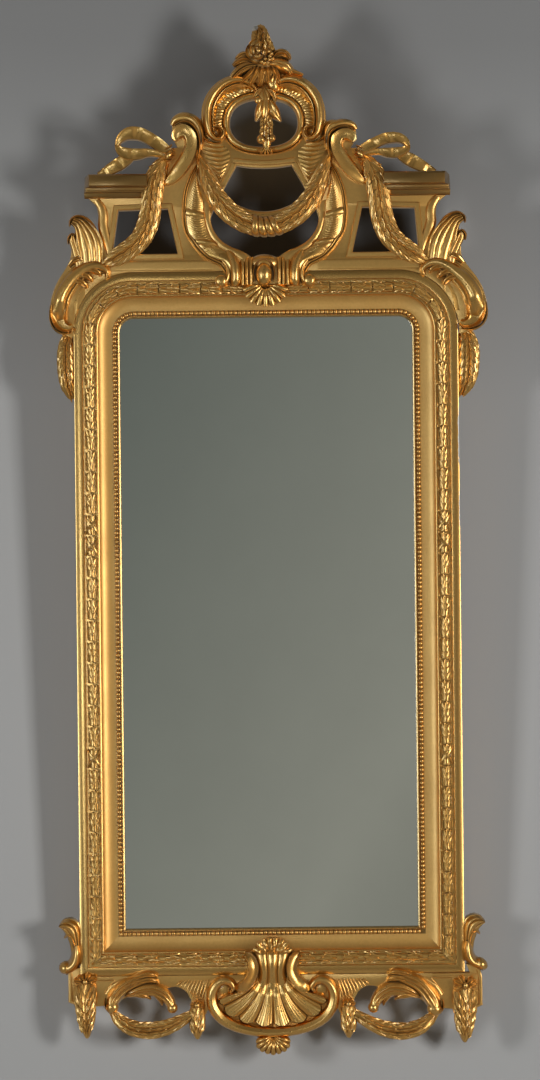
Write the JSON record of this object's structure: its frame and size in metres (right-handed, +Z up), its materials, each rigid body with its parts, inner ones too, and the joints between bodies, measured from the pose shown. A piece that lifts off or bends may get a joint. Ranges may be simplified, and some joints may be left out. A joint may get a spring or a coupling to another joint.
{
  "type": "pier mirror",
  "caption": "Tall wall mirror in a carved and gilded moulded frame, with a pierced crest, ears, garlands, a shell apron and folding ring hangers.",
  "frame": {"origin": "centre of the rectangular moulded frame, on the flat back plane that lies against the wall", "axes": "+Z up, +Y towards the wall, +X to the viewer's right as one stands in front of the glass"},
  "size_m": [0.69, 0.066, 1.6468],
  "materials": {
    "gilded_wood": "water gilding over red bole, burnished on the flats and matte in the coves",
    "mirror_plate": "silvered flat plate",
    "bare_pine": "bare toned softwood",
    "hanger_steel": "dull steel"
  },
  "bodies": {
    "mirror": {"stile_left": "gilded_wood", "stile_right": "gilded_wood", "head_rail": "gilded_wood", "bottom_rail": "gilded_wood", "corner_left": "gilded_wood", "corner_right": "gilded_wood", "laurel_left": "gilded_wood", "laurel_right": "gilded_wood", "bead_course": "gilded_wood", "mirror_glass": "mirror_plate", "glass_packing": "bare_pine", "backboard_upper": "bare_pine", "backboard_lower": "bare_pine", "backboard_screws": "hanger_steel", "crest_left": "gilded_wood", "crest_right": "gilded_wood", "crest_ring_board": "gilded_wood", "crest_battens": "bare_pine", "apron_battens": "bare_pine", "batten_screws": "hanger_steel", "shelf_left": "gilded_wood", "shelf_right": "gilded_wood", "shoulder_scroll_left": "gilded_wood", "shoulder_scroll_right": "gilded_wood", "bow_left": "gilded_wood", "bow_right": "gilded_wood", "side_garland_left": "gilded_wood", "side_garland_right": "gilded_wood", "ear_left": "gilded_wood", "ear_right": "gilded_wood", "ring_scroll_left": "gilded_wood", "ring_scroll_right": "gilded_wood", "ring_border": "gilded_wood", "flower_drop": "gilded_wood", "finial": "gilded_wood", "harp_left": "gilded_wood", "harp_right": "gilded_wood", "swag": "gilded_wood", "egg_boss": "gilded_wood", "shell_drop": "gilded_wood", "apron_left": "gilded_wood", "apron_right": "gilded_wood", "apron_leaf_left": "gilded_wood", "apron_leaf_right": "gilded_wood", "apron_scroll_left": "gilded_wood", "apron_scroll_right": "gilded_wood", "apron_garland_left": "gilded_wood", "apron_garland_right": "gilded_wood", "pendant_left": "gilded_wood", "pendant_right": "gilded_wood", "shell_neck": "gilded_wood", "shell_fan": "gilded_wood", "shell_rim": "gilded_wood", "shell_pendant": "gilded_wood", "hanger_straps": "hanger_steel", "hanger_screws": "hanger_steel"},
    "ring_left": {"ring_left": "hanger_steel"},
    "ring_right": {"ring_right": "hanger_steel"}
  },
  "joints": [
    {"name": "ring_left_swing", "type": "hinge", "parent": "mirror", "child": "ring_left", "pos_m": [-0.2795, -0.0046, 0.3], "axis": [1, 0, 0], "range_deg": [0, 170]},
    {"name": "ring_right_swing", "type": "hinge", "parent": "mirror", "child": "ring_right", "pos_m": [0.2795, -0.0046, 0.3], "axis": [1, 0, 0], "range_deg": [0, 170]}
  ]
}
